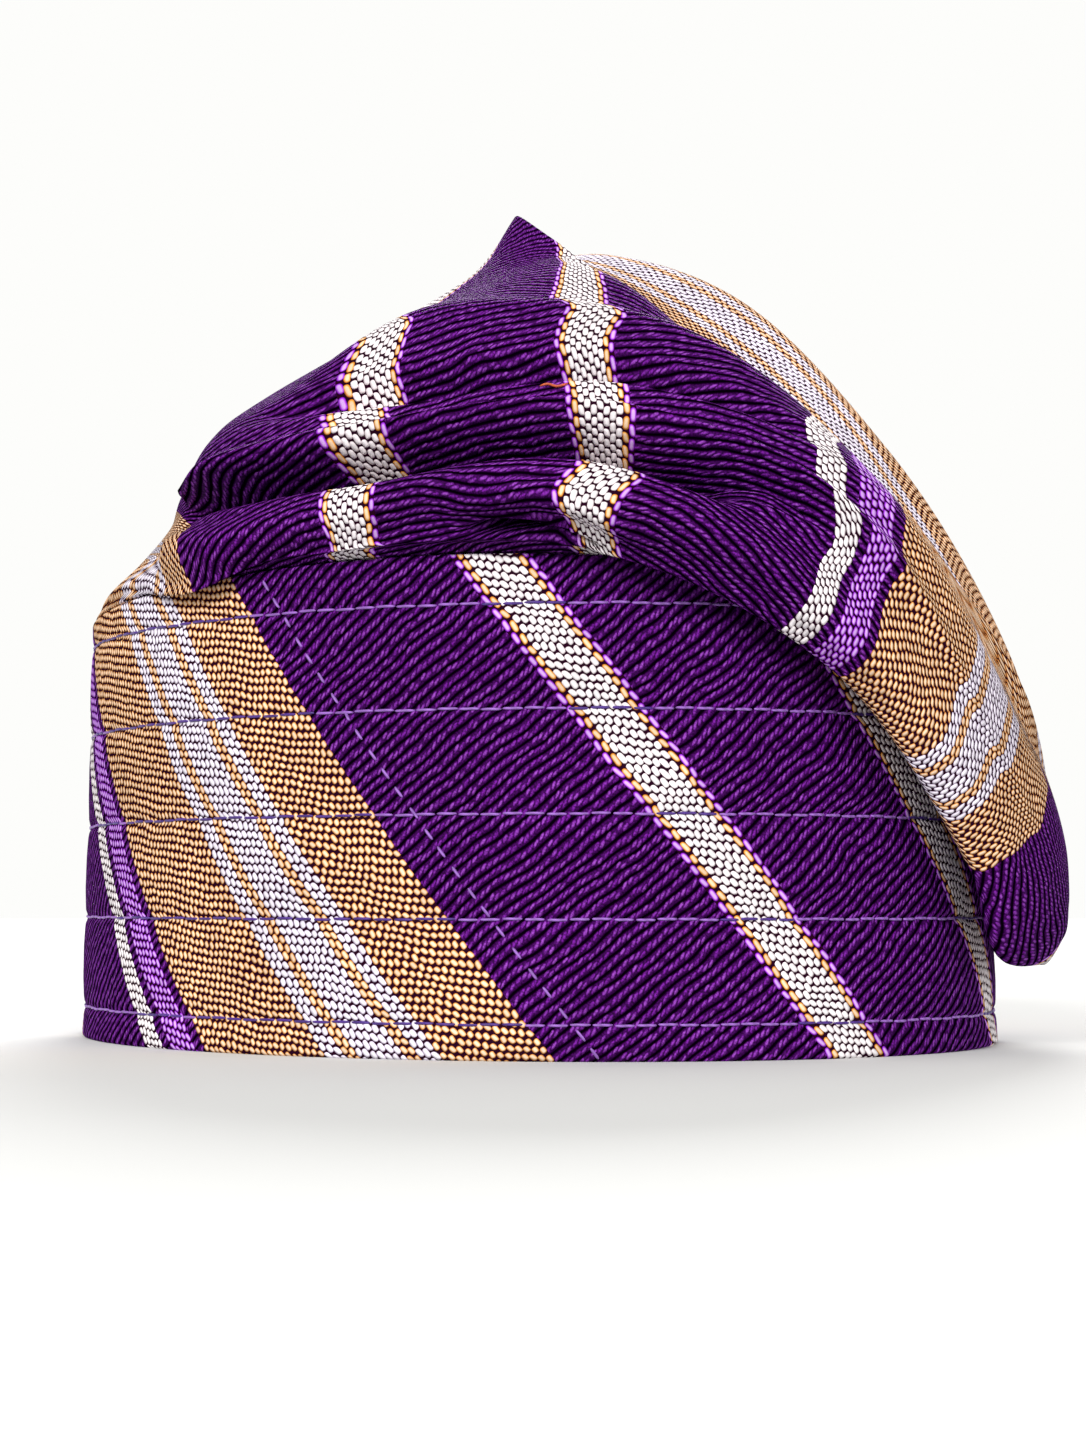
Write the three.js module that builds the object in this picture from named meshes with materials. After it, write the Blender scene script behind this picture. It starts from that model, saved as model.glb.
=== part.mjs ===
// Fila cap: a stiffened, stitched band and a soft hollow crown that is folded over to the right.
// Millimetres, +Z up. The rim stands on z = 0, the front of the cap faces -Y, and the flop hangs at +X.
import * as THREE from 'three';

// Band
const BAND_HEIGHT = 88.5; // rim to top edge at the front
const BAND_LEFT_DIP = 4.5; // the top edge is this much lower at the left side
const BAND_RIGHT_DIP = 21; // and this much under the flop, which presses it down
const BAND_RIGHT_LEAN = 6; // the flop also presses the top edge in by this
const RIM_RADIUS = 93; // outer half width at the rim, as worn on a head of 58 cm
const TOP_RADIUS = 90.4; // outer half width just below the top edge
const LEFT_DIP_POWER = 4; // how closely each dip and the lean keep to their own end
const RIGHT_DIP_POWER = 5;
const LEAN_POWER = 4;
const BAND_WALL = 3; // two cloths with a stiffener between them
const BAND_EDGE = 0.8; // rounding of the rim and of the top edge
const OVAL_SHEAR = 0.16; // y moves by minus this times x, which makes the round a turned oval, as a head is

// Crown
const CLOTH_WALL = 1.5; // handwoven aso-oke
const CLEARANCE = 0.3; // between the crown's foot and the band
const FOOT_INSET = 0.9; // the foot stands this far inside the band's outer face
const SEAM_MARGIN = 50; // degrees at each end of the seam that the hollow stays clear of
const SEAM_MARGIN_START = 8.0; // section number where that margin begins
const POCKET_TOP = 4.5; // section number where the flop's pocket opens into the crown
const POCKET_SHALLOW = 2; // a lip that hangs less than this below the foot has no pocket behind it
const POCKET_DEEP = 12; // and one that hangs more has a whole one
const HOLLOW_SPREAD = 0.36; // sections by which a fold that goes in is wider on the hollow's skin
const HOLLOW_DEPTH = 1.15; // and how much deeper it is there
const HOLLOW_ROLL = 0.6; // a roll that stands out is this much flatter and narrower there
const HOLLOW_EASING = 2; // times that the hollow's skin is evened out

// How finely the solids are divided
const AROUND = 80;
const NORMAL_STEP = 0.02; // a short step along the cloth, in sections or radians

// Sections of the crown, from the foot on the band to the closing seam. Each is one loop round the cap.
// rings: steps from the section before it. left and right: how far it reaches in x.
// front and back: its depth in y at the middle. full: how much squarer than an ellipse its front is.
// z60 to z360: its height at that angle. 0 is the right end, 90 the back, 180 the left end, 270 the front.
const SECTION_COLUMNS = ['rings', 'left', 'right', 'front', 'back', 'full',
  'z60', 'z90', 'z120', 'z150', 'z180', 'z210', 'z240', 'z270', 'z300', 'z330', 'z360'];
const SECTIONS = {
  brow: [1, -89.6, 87.0, -92.0, 91.6, 0.00, 85.4, 89.4, 89.6, 87.2, 84.8, 85.8, 88.3, 89.2, 85.4, 75.4, 68.4],
  tuck: [2, -88.6, 93.8, -93.8, 93.2, 0.04, 79.0, 90.2, 90.8, 88.2, 85.8, 87.0, 88.8, 89.0, 80.0, 50.0, 44.0],
  lip: [3, -86.0, 98.4, -95.8, 95.2, 0.20, 66.0, 91.5, 93.0, 90.8, 88.2, 88.9, 89.2, 88.6, 67.0, 23.0, 19.0],
  lowerRoll: [3, -79.6, 103.4, -98.8, 96.8, 0.20, 74.0, 97.5, 98.0, 95.8, 94.2, 94.2, 95.1, 95.2, 69.0, 28.0, 22.4],
  gap: [5, -73.6, 104.8, -95.0, 93.4, 0.16, 88.0, 107.0, 106.0, 103.0, 101.6, 102.4, 104.0, 104.2, 82.3, 36.0, 28.0],
  upperRoll: [5, -71.4, 105.0, -91.5, 88.0, 0.16, 103.0, 118.0, 115.0, 111.4, 108.6, 108.6, 109.0, 108.8, 88.5, 41.0, 33.0],
  valley: [3, -66.0, 105.0, -83.0, 77.0, 0.16, 117.0, 133.0, 124.0, 121.6, 120.0, 119.0, 118.6, 118.7, 98.9, 50.0, 37.0],
  panel: [3, -54.2, 104.8, -66.0, 52.0, 0.14, 129.0, 150.0, 138.0, 133.0, 130.5, 129.2, 136.1, 129.2, 101.5, 57.0, 40.0],
  underSeam: [3, -16.4, 104.0, -42.0, 16.0, 0.12, 121.0, 153.2, 162.5, 155.0, 151.0, 151.5, 147.2, 120.6, 97.1, 59.0, 41.0],
  seam: [4, -2.4, 103.6, -28.0, -28.0, 0.12, 94.8, 118.5, 141.6, 160.2, 168.0, 160.2, 141.6, 118.5, 94.8, 68.4, 42.0],
};

// Folds, as waves of the cloth. at: the section number that one runs along.
// from and to: the angles that it runs between. height: mm outwards, or inwards when negative. width: half its spread in sections.
// easeIn and easeOut: degrees over which its ends die out.
const FOLD_COLUMNS = ['at', 'from', 'to', 'height', 'width', 'easeIn', 'easeOut'];
const FOLDS = {
  lowerRoll: [4.1, 214, 300, 2.0, 0.8, 16, 40],
  deepGap: [5.0, 206, 298, -10.0, 0.3, 16, 40],
  upperRoll: [5.8, 210, 318, 4.5, 0.75, 24, 50],
  softValley: [7.0, 232, 322, -4.5, 0.7, 40, 40],
};

const rad = THREE.MathUtils.degToRad;
const TURN = 2 * Math.PI;

function smoothstep(edge0, edge1, x) {
  return THREE.MathUtils.smoothstep(x, edge0, edge1);
}

function named(columns, table) {
  return Object.entries(table).map(([name, row]) => {
    const entry = { name };
    columns.forEach((column, i) => { entry[column] = row[i]; });
    return entry;
  });
}

// Catmull-Rom between four neighbours
function spline(p0, p1, p2, p3, f) {
  const a = -0.5 * p0 + 1.5 * p1 - 1.5 * p2 + 0.5 * p3;
  const b = p0 - 2.5 * p1 + 2 * p2 - 0.5 * p3;
  const c = -0.5 * p0 + 0.5 * p2;
  return ((a * f + b) * f + c) * f + p1;
}

// 1 at the right end, 0 at the left end
function rightness(angle) {
  return (1 + Math.cos(angle)) / 2;
}

function bandTop(angle) {
  const right = rightness(angle);
  const leftDip = BAND_LEFT_DIP * (1 - right) ** LEFT_DIP_POWER;
  const rightDip = BAND_RIGHT_DIP * right ** RIGHT_DIP_POWER;
  return BAND_HEIGHT - leftDip - rightDip;
}

// The band's outer face, tapering from the rim to the top edge
function bandRadius(angle, z) {
  const rise = z / bandTop(angle);
  const taper = (TOP_RADIUS - RIM_RADIUS) * rise;
  return RIM_RADIUS + taper - BAND_RIGHT_LEAN * rightness(angle) ** LEAN_POWER * rise ** 2;
}

function ovalPoint(radius, angle, z) {
  const x = radius * Math.cos(angle);
  return new THREE.Vector3(x, radius * Math.sin(angle) - OVAL_SHEAR * x, z);
}

// Twelve heights round a section, 30 degrees apart from angle 0. The one at 30 lies between its neighbours.
function stationHeights(row) {
  return Array.from({ length: 12 }, (_, k) => {
    if (k === 0) return row.z360;
    if (k === 1) return (row.z360 + row.z60) / 2;
    return row[`z${k * 30}`];
  });
}

function sectionPoint(row, angle) {
  const place = ((angle / TURN) % 1) * 12;
  const k = Math.floor(place);
  const at = (i) => row.heights[(k + i + 12) % 12];
  const z = spline(at(-1), at(0), at(1), at(2), place - k);
  const x = (row.left + row.right) / 2 + ((row.right - row.left) / 2) * Math.cos(angle);
  const s = Math.sin(angle);
  const fullness = 1 - row.full * Math.abs(Math.cos(angle));
  const y = s < 0 ? row.front * (-s) ** fullness : row.back * s;
  return new THREE.Vector3(x, y - OVAL_SHEAR * x, z);
}

const sections = named(SECTION_COLUMNS, SECTIONS);
sections.forEach((row) => { row.heights = stationHeights(row); });
const folds = named(FOLD_COLUMNS, FOLDS);
const LAST = sections.length;
const LIP = 1 + sections.findIndex((row) => row.name === 'lip');

// The crown's foot stands on the band's top edge
function footPoint(angle, inset = 0) {
  const top = bandTop(angle);
  return ovalPoint(bandRadius(angle, top) - FOOT_INSET - inset, angle, top + CLEARANCE);
}

// Section 0 is the foot, 1 is the brow, and so on to the seam
function atSection(number, angle) {
  if (number <= 0) return footPoint(angle);
  return sectionPoint(sections[Math.min(number, LAST) - 1], angle);
}

function crownBase(t, angle) {
  const i = Math.min(Math.floor(t), LAST - 1);
  const f = t - i;
  const [p0, p1, p2, p3] = [Math.max(i - 1, 0), i, i + 1, Math.min(i + 2, LAST)].map((n) => atSection(n, angle));
  return new THREE.Vector3(
    spline(p0.x, p1.x, p2.x, p3.x, f),
    spline(p0.y, p1.y, p2.y, p3.y, f),
    spline(p0.z, p1.z, p2.z, p3.z, f),
  );
}

function foldHeight(t, angle, inHollow = false) {
  const degrees = THREE.MathUtils.radToDeg(angle);
  return folds.reduce((sum, fold) => {
    const goesIn = fold.height < 0;
    let { height, width } = fold;
    if (inHollow) {
      height *= goesIn ? HOLLOW_DEPTH : HOLLOW_ROLL;
      width = goesIn ? width + HOLLOW_SPREAD : width * HOLLOW_ROLL;
    }
    const across = Math.abs(t - fold.at) / width;
    if (across >= 1) return sum;
    const starts = smoothstep(fold.from - fold.easeIn / 2, fold.from + fold.easeIn / 2, degrees);
    const ends = 1 - smoothstep(fold.to - fold.easeOut / 2, fold.to + fold.easeOut / 2, degrees);
    return sum + height * Math.cos((across * Math.PI) / 2) ** 2 * starts * ends;
  }, 0);
}

// The way out of the cloth, from two short steps on the surface
function outwards(surface, t, angle) {
  const above = surface(Math.min(t + NORMAL_STEP, LAST), angle);
  const below = surface(Math.max(t - NORMAL_STEP, 0), angle);
  const round = surface(t, angle + NORMAL_STEP).sub(surface(t, angle - NORMAL_STEP));
  return round.cross(above.sub(below)).normalize();
}

function crownSkin(t, angle) {
  const wrapped = ((angle % TURN) + TURN) % TURN;
  const point = crownBase(t, wrapped);
  const height = foldHeight(t, wrapped);
  if (height !== 0) point.addScaledVector(outwards(crownBase, t, wrapped), height);
  return point;
}

// Joins rings of points into triangles. Ring pairs are walked in order, so the last ring may be the first.
class SolidBuilder {
  constructor() {
    this.positions = [];
    this.index = [];
  }

  ring(points) {
    const start = this.positions.length / 3;
    points.forEach((p) => this.positions.push(p.x, p.y, p.z));
    return Array.from(points, (_, i) => start + i);
  }

  between(lower, upper) {
    const n = lower.length;
    for (let i = 0; i < n; i += 1) {
      const j = (i + 1) % n;
      const faces = [[lower[i], lower[j], upper[j]], [lower[i], upper[j], upper[i]]];
      faces.filter((face) => new Set(face).size === 3).forEach((face) => this.index.push(...face));
    }
  }

  // A closed seam: the loop's front and back share their points
  seam(points) {
    const n = points.length;
    const half = this.ring(points.slice(0, n / 2 + 1));
    return points.map((_, i) => half[Math.min(i, n - i)]);
  }

  geometry() {
    const geometry = new THREE.BufferGeometry();
    geometry.setAttribute('position', new THREE.Float32BufferAttribute(this.positions, 3));
    geometry.setIndex(this.index);
    geometry.computeVertexNormals();
    return geometry;
  }
}

function angles(count) {
  return Array.from({ length: count }, (_, i) => (i / count) * TURN);
}

function makeBand() {
  const e = BAND_EDGE;
  const solid = new SolidBuilder();
  const turn = angles(AROUND);
  // Profile of the wall, anticlockwise from the rim's inner edge: inset from the outer face, and height.
  const profile = [
    { inset: BAND_WALL - e / 2, z: () => 0 },
    { inset: e, z: () => 0 },
    { inset: 0, z: () => e },
    { inset: 0, z: (a) => bandTop(a) / 2 },
    { inset: 0, z: (a) => bandTop(a) - e },
    { inset: e / 2, z: (a) => bandTop(a) },
    { inset: BAND_WALL, z: (a) => bandTop(a) },
    { inset: BAND_WALL, z: () => e / 2 },
  ];
  const rings = profile.map(({ inset, z }) => solid.ring(turn.map((a) => {
    const height = z(a);
    return ovalPoint(bandRadius(a, height) - inset, a, height);
  })));
  rings.forEach((ring, i) => solid.between(ring, rings[(i + 1) % rings.length]));
  return solid.geometry();
}

// Section numbers of the rings, with each section's own count of steps
function ringNumbers() {
  const steps = sections.map((row, i) => Array.from({ length: row.rings }, (_, k) => i + (k + 1) / row.rings));
  return [0, ...steps.flat()];
}

// A point of the hollow's skin, on the front (side -1) or back (side 1), at an angle from the right end
function hollowSide(t, fromRight, side) {
  const margin = rad(SEAM_MARGIN) * smoothstep(SEAM_MARGIN_START, LAST, t);
  const angle = (TURN + side * (margin + fromRight * (1 - (2 * margin) / Math.PI))) % TURN;
  if (t === 0) return footPoint(angle, CLOTH_WALL);
  const out = outwards(crownBase, t, angle);
  return crownBase(t, angle).addScaledVector(out, foldHeight(t, angle, true) - CLOTH_WALL);
}

function hollowSkin(t, angle) {
  const fromRight = Math.acos(Math.cos(angle));
  const onEnd = Math.min(fromRight, Math.PI - fromRight) < NORMAL_STEP;
  if (onEnd || t === LAST) {
    return hollowSide(t, fromRight, 1).lerp(hollowSide(t, fromRight, -1), 0.5);
  }
  return hollowSide(t, fromRight, Math.sign(Math.sin(angle)));
}

// Below the flop's lip the hollow goes down into a pocket. Elsewhere it runs straight up from the foot.
function hollowRings(turn) {
  const numbers = ringNumbers();
  let rings = numbers.map((t) => turn.map((a) => {
    const point = hollowSkin(t, a);
    if (t >= POCKET_TOP) return point;
    const straight = hollowSkin(0, a).lerp(hollowSkin(POCKET_TOP, a), t / POCKET_TOP);
    const hang = atSection(0, a).z - atSection(LIP, a).z;
    return straight.lerp(point, smoothstep(POCKET_SHALLOW, POCKET_DEEP, hang));
  }));
  for (let pass = 0; pass < HOLLOW_EASING; pass += 1) {
    rings = rings.map((ring, k) => (numbers[k] <= 1 || numbers[k] === LAST ? ring : ring.map((p, i) => {
      const middle = rings[k - 1][i].clone().add(rings[k + 1][i]).multiplyScalar(0.5);
      return p.clone().lerp(middle, 0.5);
    })));
  }
  return rings;
}

function makeCrown() {
  const solid = new SolidBuilder();
  const turn = angles(AROUND);
  const skin = (rings) => rings.map((ring, k) => (k === rings.length - 1 ? solid.seam(ring) : solid.ring(ring)));
  const outer = skin(ringNumbers().map((t) => turn.map((a) => crownSkin(t, a))));
  const inner = skin(hollowRings(turn)).reverse();
  outer.slice(1).forEach((ring, i) => solid.between(outer[i], ring));
  inner.slice(1).forEach((ring, i) => solid.between(inner[i], ring));
  solid.between(inner[inner.length - 1], outer[0]);
  return solid.geometry();
}

// The band's cloth lies flat and tight over its stiffener. The crown's is the same cloth, loose.
function cloth(color, roughness) {
  return new THREE.MeshStandardMaterial({ color, roughness, metalness: 0 });
}

function piece(name, geometry, material) {
  const mesh = new THREE.Mesh(geometry, material);
  mesh.name = name;
  return mesh;
}

const cap = new THREE.Group();
cap.add(piece('band', makeBand(), cloth(0x3a0a5c, 0.8)));
cap.add(piece('crown', makeCrown(), cloth(0x451066, 0.88)));

// The origin lies on the ground under the middle of the whole cap
const whole = new THREE.Box3().setFromObject(cap);
const middle = whole.getCenter(new THREE.Vector3());
cap.position.set(-middle.x, -middle.y, -whole.min.z);

export default cap;
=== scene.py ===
"""Fila cap: striped, handwoven aso-oke over a stiffened, stitched band and a soft crown, on a pale floor.

The script runs in Blender 4.5. It is laid out as an add-on and is run as a script.
Sizes are in millimetres in the part's own frame until in_row() turns them to metres.
"""

import math

import bpy
import numpy as np
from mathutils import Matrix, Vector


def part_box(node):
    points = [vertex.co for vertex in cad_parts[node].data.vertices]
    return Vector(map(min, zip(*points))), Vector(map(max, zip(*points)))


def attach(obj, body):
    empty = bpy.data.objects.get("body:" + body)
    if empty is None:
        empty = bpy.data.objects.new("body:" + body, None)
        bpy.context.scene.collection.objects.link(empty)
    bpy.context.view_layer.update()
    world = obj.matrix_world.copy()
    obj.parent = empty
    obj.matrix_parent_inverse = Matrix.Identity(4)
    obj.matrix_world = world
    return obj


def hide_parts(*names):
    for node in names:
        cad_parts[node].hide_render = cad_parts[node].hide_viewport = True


bl_info = {
    "name": "Fila cap",
    "version": (1, 0, 0),
    "blender": (4, 5, 0),
    "location": "3D View > Sidebar > Fila cap",
    "description": "Woven cloth, stitching and stage for a fila, around its packed solids",
    "category": "Add Mesh",
}

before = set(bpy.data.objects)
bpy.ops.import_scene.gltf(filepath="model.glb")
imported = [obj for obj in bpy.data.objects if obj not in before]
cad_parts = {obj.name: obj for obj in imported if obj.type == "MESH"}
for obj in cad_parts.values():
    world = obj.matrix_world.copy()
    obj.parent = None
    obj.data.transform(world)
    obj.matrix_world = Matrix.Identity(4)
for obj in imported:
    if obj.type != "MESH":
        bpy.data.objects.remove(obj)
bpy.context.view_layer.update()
MM = 0.001
BAND_NODE, CROWN_NODE = "band", "crown"

# The band is round about the part's own origin, so the middle of its box is that origin
_low, _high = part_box(BAND_NODE)
OWN_ORIGIN = np.array([(_low.x + _high.x) / 2, (_low.y + _high.y) / 2, 0.0])

# Band
BAND_HEIGHT = 88.5
BAND_LEFT_DIP, LEFT_DIP_POWER = 4.5, 4
BAND_RIGHT_DIP, RIGHT_DIP_POWER = 21, 5
BAND_RIGHT_LEAN, LEAN_POWER = 6, 4
RIM_RADIUS, TOP_RADIUS = 93, 90.4
BAND_WALL = 3
BAND_EDGE = 0.8
OVAL_SHEAR = 0.16
STITCH_ROWS = (6.3, 24.4, 42.6, 60.8, 79.0)
JOIN_ANGLE = 140
BAND_RINGS, BAND_INNER_RINGS = 90, 30
# One stitch, from its middle at 0: where it bends and ends as shares of the pitch, and how high it lies at these, mm
STITCH_BEND, STITCH_END, STITCH_LIFTS = 0.36, 0.485, (0.22, 0.17, -0.15)
STITCH_WANDER, TOP_MARGIN = 0.1, 1.5
SEAM_STITCH_SHARE, SEAM_LIFT_SHARE = 0.55, 0.3
# The cloth swells over this distance from a row and sinks within this distance of it, mm
PUFF_REACH, PUFF_POWER, SINK_REACH = 6, 0.7, 0.8

# Crown
CLOTH_WALL = 1.5
CLEARANCE = 0.3
FOOT_INSET = 0.9
SEAM_MARGIN, SEAM_MARGIN_START = 50, 8.0
POCKET_TOP, POCKET_SHALLOW, POCKET_DEEP = 4.5, 2, 12
HOLLOW_SPREAD, HOLLOW_DEPTH, HOLLOW_ROLL, HOLLOW_EASING = 0.45, 1.2, 0.5, 10
NORMAL_STEP = 0.02

# Sections of the crown from the foot to the closing seam, as in the solids.
# left, right, front, back: its reach. full: how square its front is. Then its heights each 30 degrees,
# from 60 to 360, where 0 is the right end, 90 the back, 180 the left end and 270 the front.
SECTIONS = {
    "brow": (-89.6, 87, -92, 91.6, 0.0, 85.4, 89.4, 89.6, 87.2, 84.8, 85.8, 88.3, 89.2, 85.4, 75.4, 68.4),
    "tuck": (-88.6, 93.8, -93.8, 93.2, 0.04, 79, 90.2, 90.8, 88.2, 85.8, 87, 88.8, 89, 80, 50, 44),
    "lip": (-86, 98.4, -95.8, 95.2, 0.2, 66, 91.5, 93, 90.8, 88.2, 88.9, 89.2, 88.6, 67, 23, 19),
    "lower_roll": (-79.6, 103.4, -98.8, 96.8, 0.2, 74, 97.5, 98, 95.8, 94.2, 94.2, 95.1, 95.2, 69, 28, 22.4),
    "gap": (-73.6, 104.8, -95, 93.4, 0.16, 88, 107, 106, 103, 101.6, 102.4, 104, 104.2, 82.3, 36, 28),
    "upper_roll": (-71.4, 105, -91.5, 88, 0.16, 103, 118, 115, 111.4, 108.6, 108.6, 109, 108.8, 88.5, 41, 33),
    "valley": (-66, 105, -83, 77, 0.16, 117, 133, 124, 121.6, 120, 119, 118.6, 118.7, 98.9, 50, 37),
    "panel": (-54.2, 104.8, -66, 52, 0.14, 129, 150, 138, 133, 130.5, 129.2, 136.1, 129.2, 101.5, 57, 40),
    "under_seam": (-16.4, 104, -42, 16, 0.12, 121, 153.2, 162.5, 155, 151, 151.5, 147.2, 120.6, 97.1, 59, 41),
    "seam": (-2.4, 103.6, -28, -28, 0.12, 94.8, 118.5, 141.6, 160.2, 168, 160.2, 141.6, 118.5, 94.8, 68.4, 42),
}
LAST = len(SECTIONS)
# Rings of the mesh in each section, about a millimetre apart
RINGS = (6, 8, 12, 14, 26, 24, 16, 18, 24, 24)
AROUND = 360
JOIN_TO_JOIN = np.radians(JOIN_ANGLE + np.arange(AROUND + 1) * 360 / AROUND)

# Folds that run along a section: the section number, then the angles from and to, height in mm outwards,
# half width in sections, and the degrees over which each end dies out
ROLLS = {
    "lower_roll": (4.15, 214, 300, 3.5, 0.7, 14, 40),
    "lower_roll_tip": (3.6, 215, 240, 4.5, 0.6, 4, 30),
    "deep_gap": (5.0, 206, 281, -13.0, 0.46, 10, 12),
    "left_gap": (4.8, 207, 244, -5.5, 0.45, 8, 24),
    "upper_roll": (5.8, 210, 300, 6.0, 0.7, 16, 34),
    "upper_roll_tip": (5.45, 204, 226, 3.5, 0.5, 4, 24),
    "soft_valley": (7.12, 226, 284, -8.5, 0.3, 36, 26),
    "under_peak": (7.9, 225, 285, 2.5, 0.5, 30, 30),
}

# Where the cloth hangs fuller: section number and angle of the middle, half widths in sections and degrees,
# and how far it moves in mm
BULGES = {
    "flop_toe": (3.1, 333, 2.0, 12, (-3.6, -1.0, -2.6)),
    "lower_tip_sag": (2.6, 224, 2.1, 15, (-1.2, -2.2, -4.6)),
}

# Finer creases: height in mm, half width in mm, degrees over which each end dies out,
# then the places (angle, section number) that the crease runs through
CREASES = {
    "small_roll": (4.2, 3.2, 14, 10, ((252, 3.5), (259, 3.78), (266, 3.85), (273, 3.68), (280, 3.4))),
    "small_roll_hollow": (-9.5, 2.8, 5, 7, ((258, 3.2), (264, 3.18), (269, 3.05), (275, 2.85))),
    "flop_fold": (-5.0, 3.4, 8, 12, ((275, 4.75), (279, 5.12), (284, 5.2), (288, 5.28), (292, 5.45), (297, 5.6))),
    "long_fold": (-3.0, 3.4, 12, 20, ((277, 4.2), (283, 3.9), (289, 3.75), (296, 3.7))),
}

# The stripes just below the flop's closed edge. Above it they change at once, to plain tan on the right.
BELOW_EDGE = ((140, -42), (160, -22), (181, 0), (200, 19), (215, 31),
              (234, 45), (248, 66), (263, 90), (291.5, 132), (302.8, 145.2), (320.5, 177.6), (334.5, 201.6),
              (360, 230), (390, 228), (420, 233), (450, 237), (480, 241), (500, 246))
# The stripes on the crown. For each section number, pairs of angle and place across the cloth in mm.
# The back goes on from 360 to 500, where the cloth meets its other end at the join. The places follow the photo
# at the front. On the right, out of its sight, they give the surface too little cloth, so the weave is coarse there.
WEAVE = {
    2: ((140, -111), (160, -88), (180, -64), (200, -42), (210, -31), (219, -20), (225, -5), (236, 15), (250, 45),
        (264, 66), (279, 90), (296, 132), (301, 145.2), (311, 177.6), (319, 201.6), (336, 240.7), (360, 260),
        (390, 262), (420, 272), (450, 283), (480, 311), (500, 328)),
    3: ((140, -108), (160, -84), (180, -60), (200, -38), (210, -27), (218, -16), (223.5, -1), (235, 18),
        (246.5, 45), (264, 68), (274, 90), (294.5, 132), (300.5, 145.2), (312.5, 177.6), (320.5, 201.6),
        (338, 240.7), (360, 257), (390, 260), (420, 270), (450, 280), (480, 308), (500, 325)),
    4: ((140, -104), (160, -78), (180, -52), (200, -34), (210, -22), (216, -8), (219, 2), (230, 22), (243, 45),
        (257, 68), (270, 90), (293.5, 132), (300, 145.2), (314, 177.6), (323, 201.6), (347, 240.7), (360, 252),
        (390, 256), (420, 266), (450, 275), (480, 300), (500, 315)),
    4.5: ((140, -101), (160, -74), (180, -44), (200, -14), (209, 0), (225, 20), (241.5, 45), (256, 68), (271, 90),
        (294, 132), (300.5, 145.2), (315, 177.6), (325, 201.6), (349, 240.7), (360, 249), (390, 253), (420, 262),
        (450, 271), (480, 293), (500, 307)),
    5: ((140, -96), (160, -66), (180, -34), (202, 0), (220, 20), (240.5, 45), (255, 67), (269, 90), (295.5, 132),
        (301.5, 145.2), (316, 177.6), (327, 201.6), (352, 240.7), (360, 247), (390, 250), (420, 258), (450, 268),
        (480, 287), (500, 300)),
    6: ((140, -60), (160, -34), (186, 0), (200, 12), (220, 28), (240, 45), (254, 67), (268, 90), (293.5, 132),
        (302.5, 145.2), (318, 177.6), (330, 201.6), (357, 240.7), (390, 242), (420, 250), (450, 259), (480, 272),
        (500, 282)),
    7: ((140, -50), (160, -26), (182, 0), (200, 15), (216, 30), (234.5, 45), (250, 67), (265.5, 90), (293, 132),
        (303.5, 145.2), (320, 177.6), (333, 201.6), (360, 233), (390, 233), (420, 240), (450, 247), (480, 255),
        (500, 262)),
    7.5: BELOW_EDGE,
    7.68: BELOW_EDGE,
    7.8: ((140, -42), (160, -22), (181, 0), (200, 19), (215, 31), (234, 45), (248, 66), (263, 90), (291.5, 132),
        (302, 145.2), (334, 167), (340, 177.6), (349, 201.6), (360, 230), (390, 228), (420, 233), (450, 237),
        (480, 241), (500, 246)),
    8: ((140, -35), (160, -18), (178, 0), (200, 20), (215, 33), (229, 45), (244, 66), (259.5, 90), (290, 132),
        (301, 145.2), (335, 167), (341, 177.6), (350, 201.6), (360, 227), (390, 222), (420, 226), (450, 226),
        (480, 226), (500, 230)),
    8.5: ((140, -20), (160, -4), (165, 0), (190, 25), (215, 45), (232, 66), (250, 90), (288, 132), (299.5, 145.2),
        (335, 167), (342, 177.6), (351, 201.6), (360, 224), (390, 214), (420, 213), (450, 210), (480, 206),
        (500, 205)),
    9: ((140, -6), (150, 0), (165, 12), (180, 26), (200, 45), (219, 67), (237, 90), (285.5, 132), (298, 145.2),
        (336, 167), (343, 177.6), (352, 201.6), (360, 221), (380, 206), (400, 198), (420, 195), (450, 192),
        (480, 188), (500, 185)),
    9.5: ((140, 15), (160, 28), (185, 45), (205, 67), (226, 90), (283, 132), (296, 145.2), (336, 167), (343, 177.6),
        (353, 201.6), (360, 218), (380, 203), (400, 195), (420, 187), (435, 180), (450, 176), (480, 172),
        (500, 168)),
    10: ((140, 46), (155, 55), (180, 67), (222, 90), (280.5, 132), (293, 145.2), (336, 167), (344, 177.6),
        (354, 201.6), (359.5, 215), (375, 200), (395, 193), (410, 186), (422, 177), (435, 165), (450, 155),
        (480, 148), (500, 146)),
}
# A slub: the section it lies at, from angle to angle, then its thickness and lift in mm
SLUB_SECTION, SLUB_ANGLES = 6.72, (259.2, 262.4)
SLUB_THICKNESS, SLUB_LIFT = 0.5, 0.35

# Across the band a stripe's place is ACROSS_ROUND times the way round from the front and ACROSS_UP times the height
ACROSS_ROUND, ACROSS_UP, ACROSS_START = 0.788, 0.616, -3.8
# How much it matters that the ribs stand square on the stripes, against their even spacing
LEVEL_WEIGHT, LEVEL_STEPS, LEVEL_SMOOTHING = 0.12, 1500, 0.02

# Camera, in the part's own frame, and the photo's frame in pixels
CAMERA_DISTANCE, CAMERA_HEIGHT = 560, 27.4
FOCAL_PIXELS = 2728.0
PHOTO_WIDE, PHOTO_HIGH = 1086, 1448
AXIS_PIXEL, HORIZON_PIXEL = 527.5, 902.0
SENSOR = 36.0

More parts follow.
